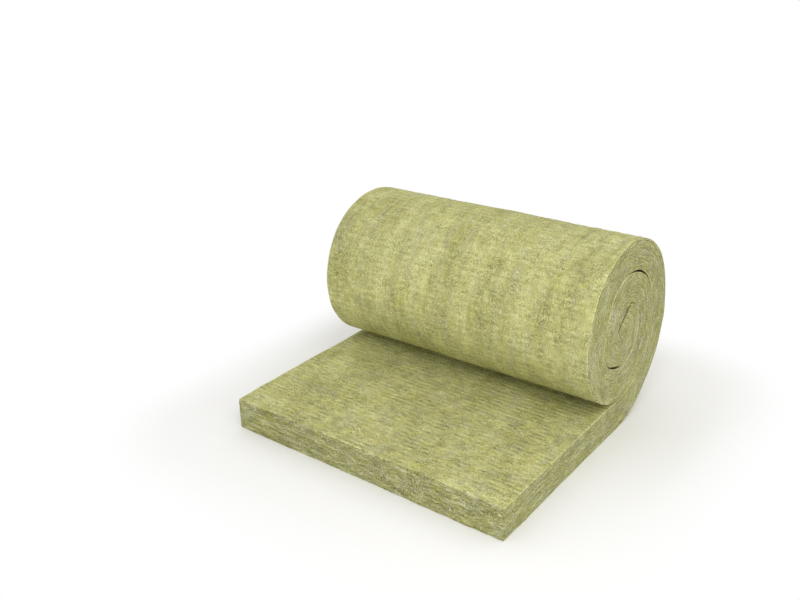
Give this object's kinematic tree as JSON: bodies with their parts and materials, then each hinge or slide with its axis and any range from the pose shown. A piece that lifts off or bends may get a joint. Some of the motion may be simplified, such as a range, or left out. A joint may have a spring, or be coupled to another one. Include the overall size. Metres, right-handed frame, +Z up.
{
  "type": "insulation roll",
  "caption": "Half unrolled blanket of mineral wool insulation: a loose coreless roll, with the first stretch of the blanket laid flat on the floor in front of it.",
  "frame": {"origin": "on the floor, in the middle of the part's length and width", "axes": "+X along the roll, +Y from the pulled-out end towards the back of the roll, +Z up"},
  "size_m": [1, 1.019, 0.6313],
  "materials": {
    "mineral_wool": "matt and fibrous"
  },
  "bodies": {
    "root": {"wool_blanket": "mineral_wool"}
  },
  "joints": []
}
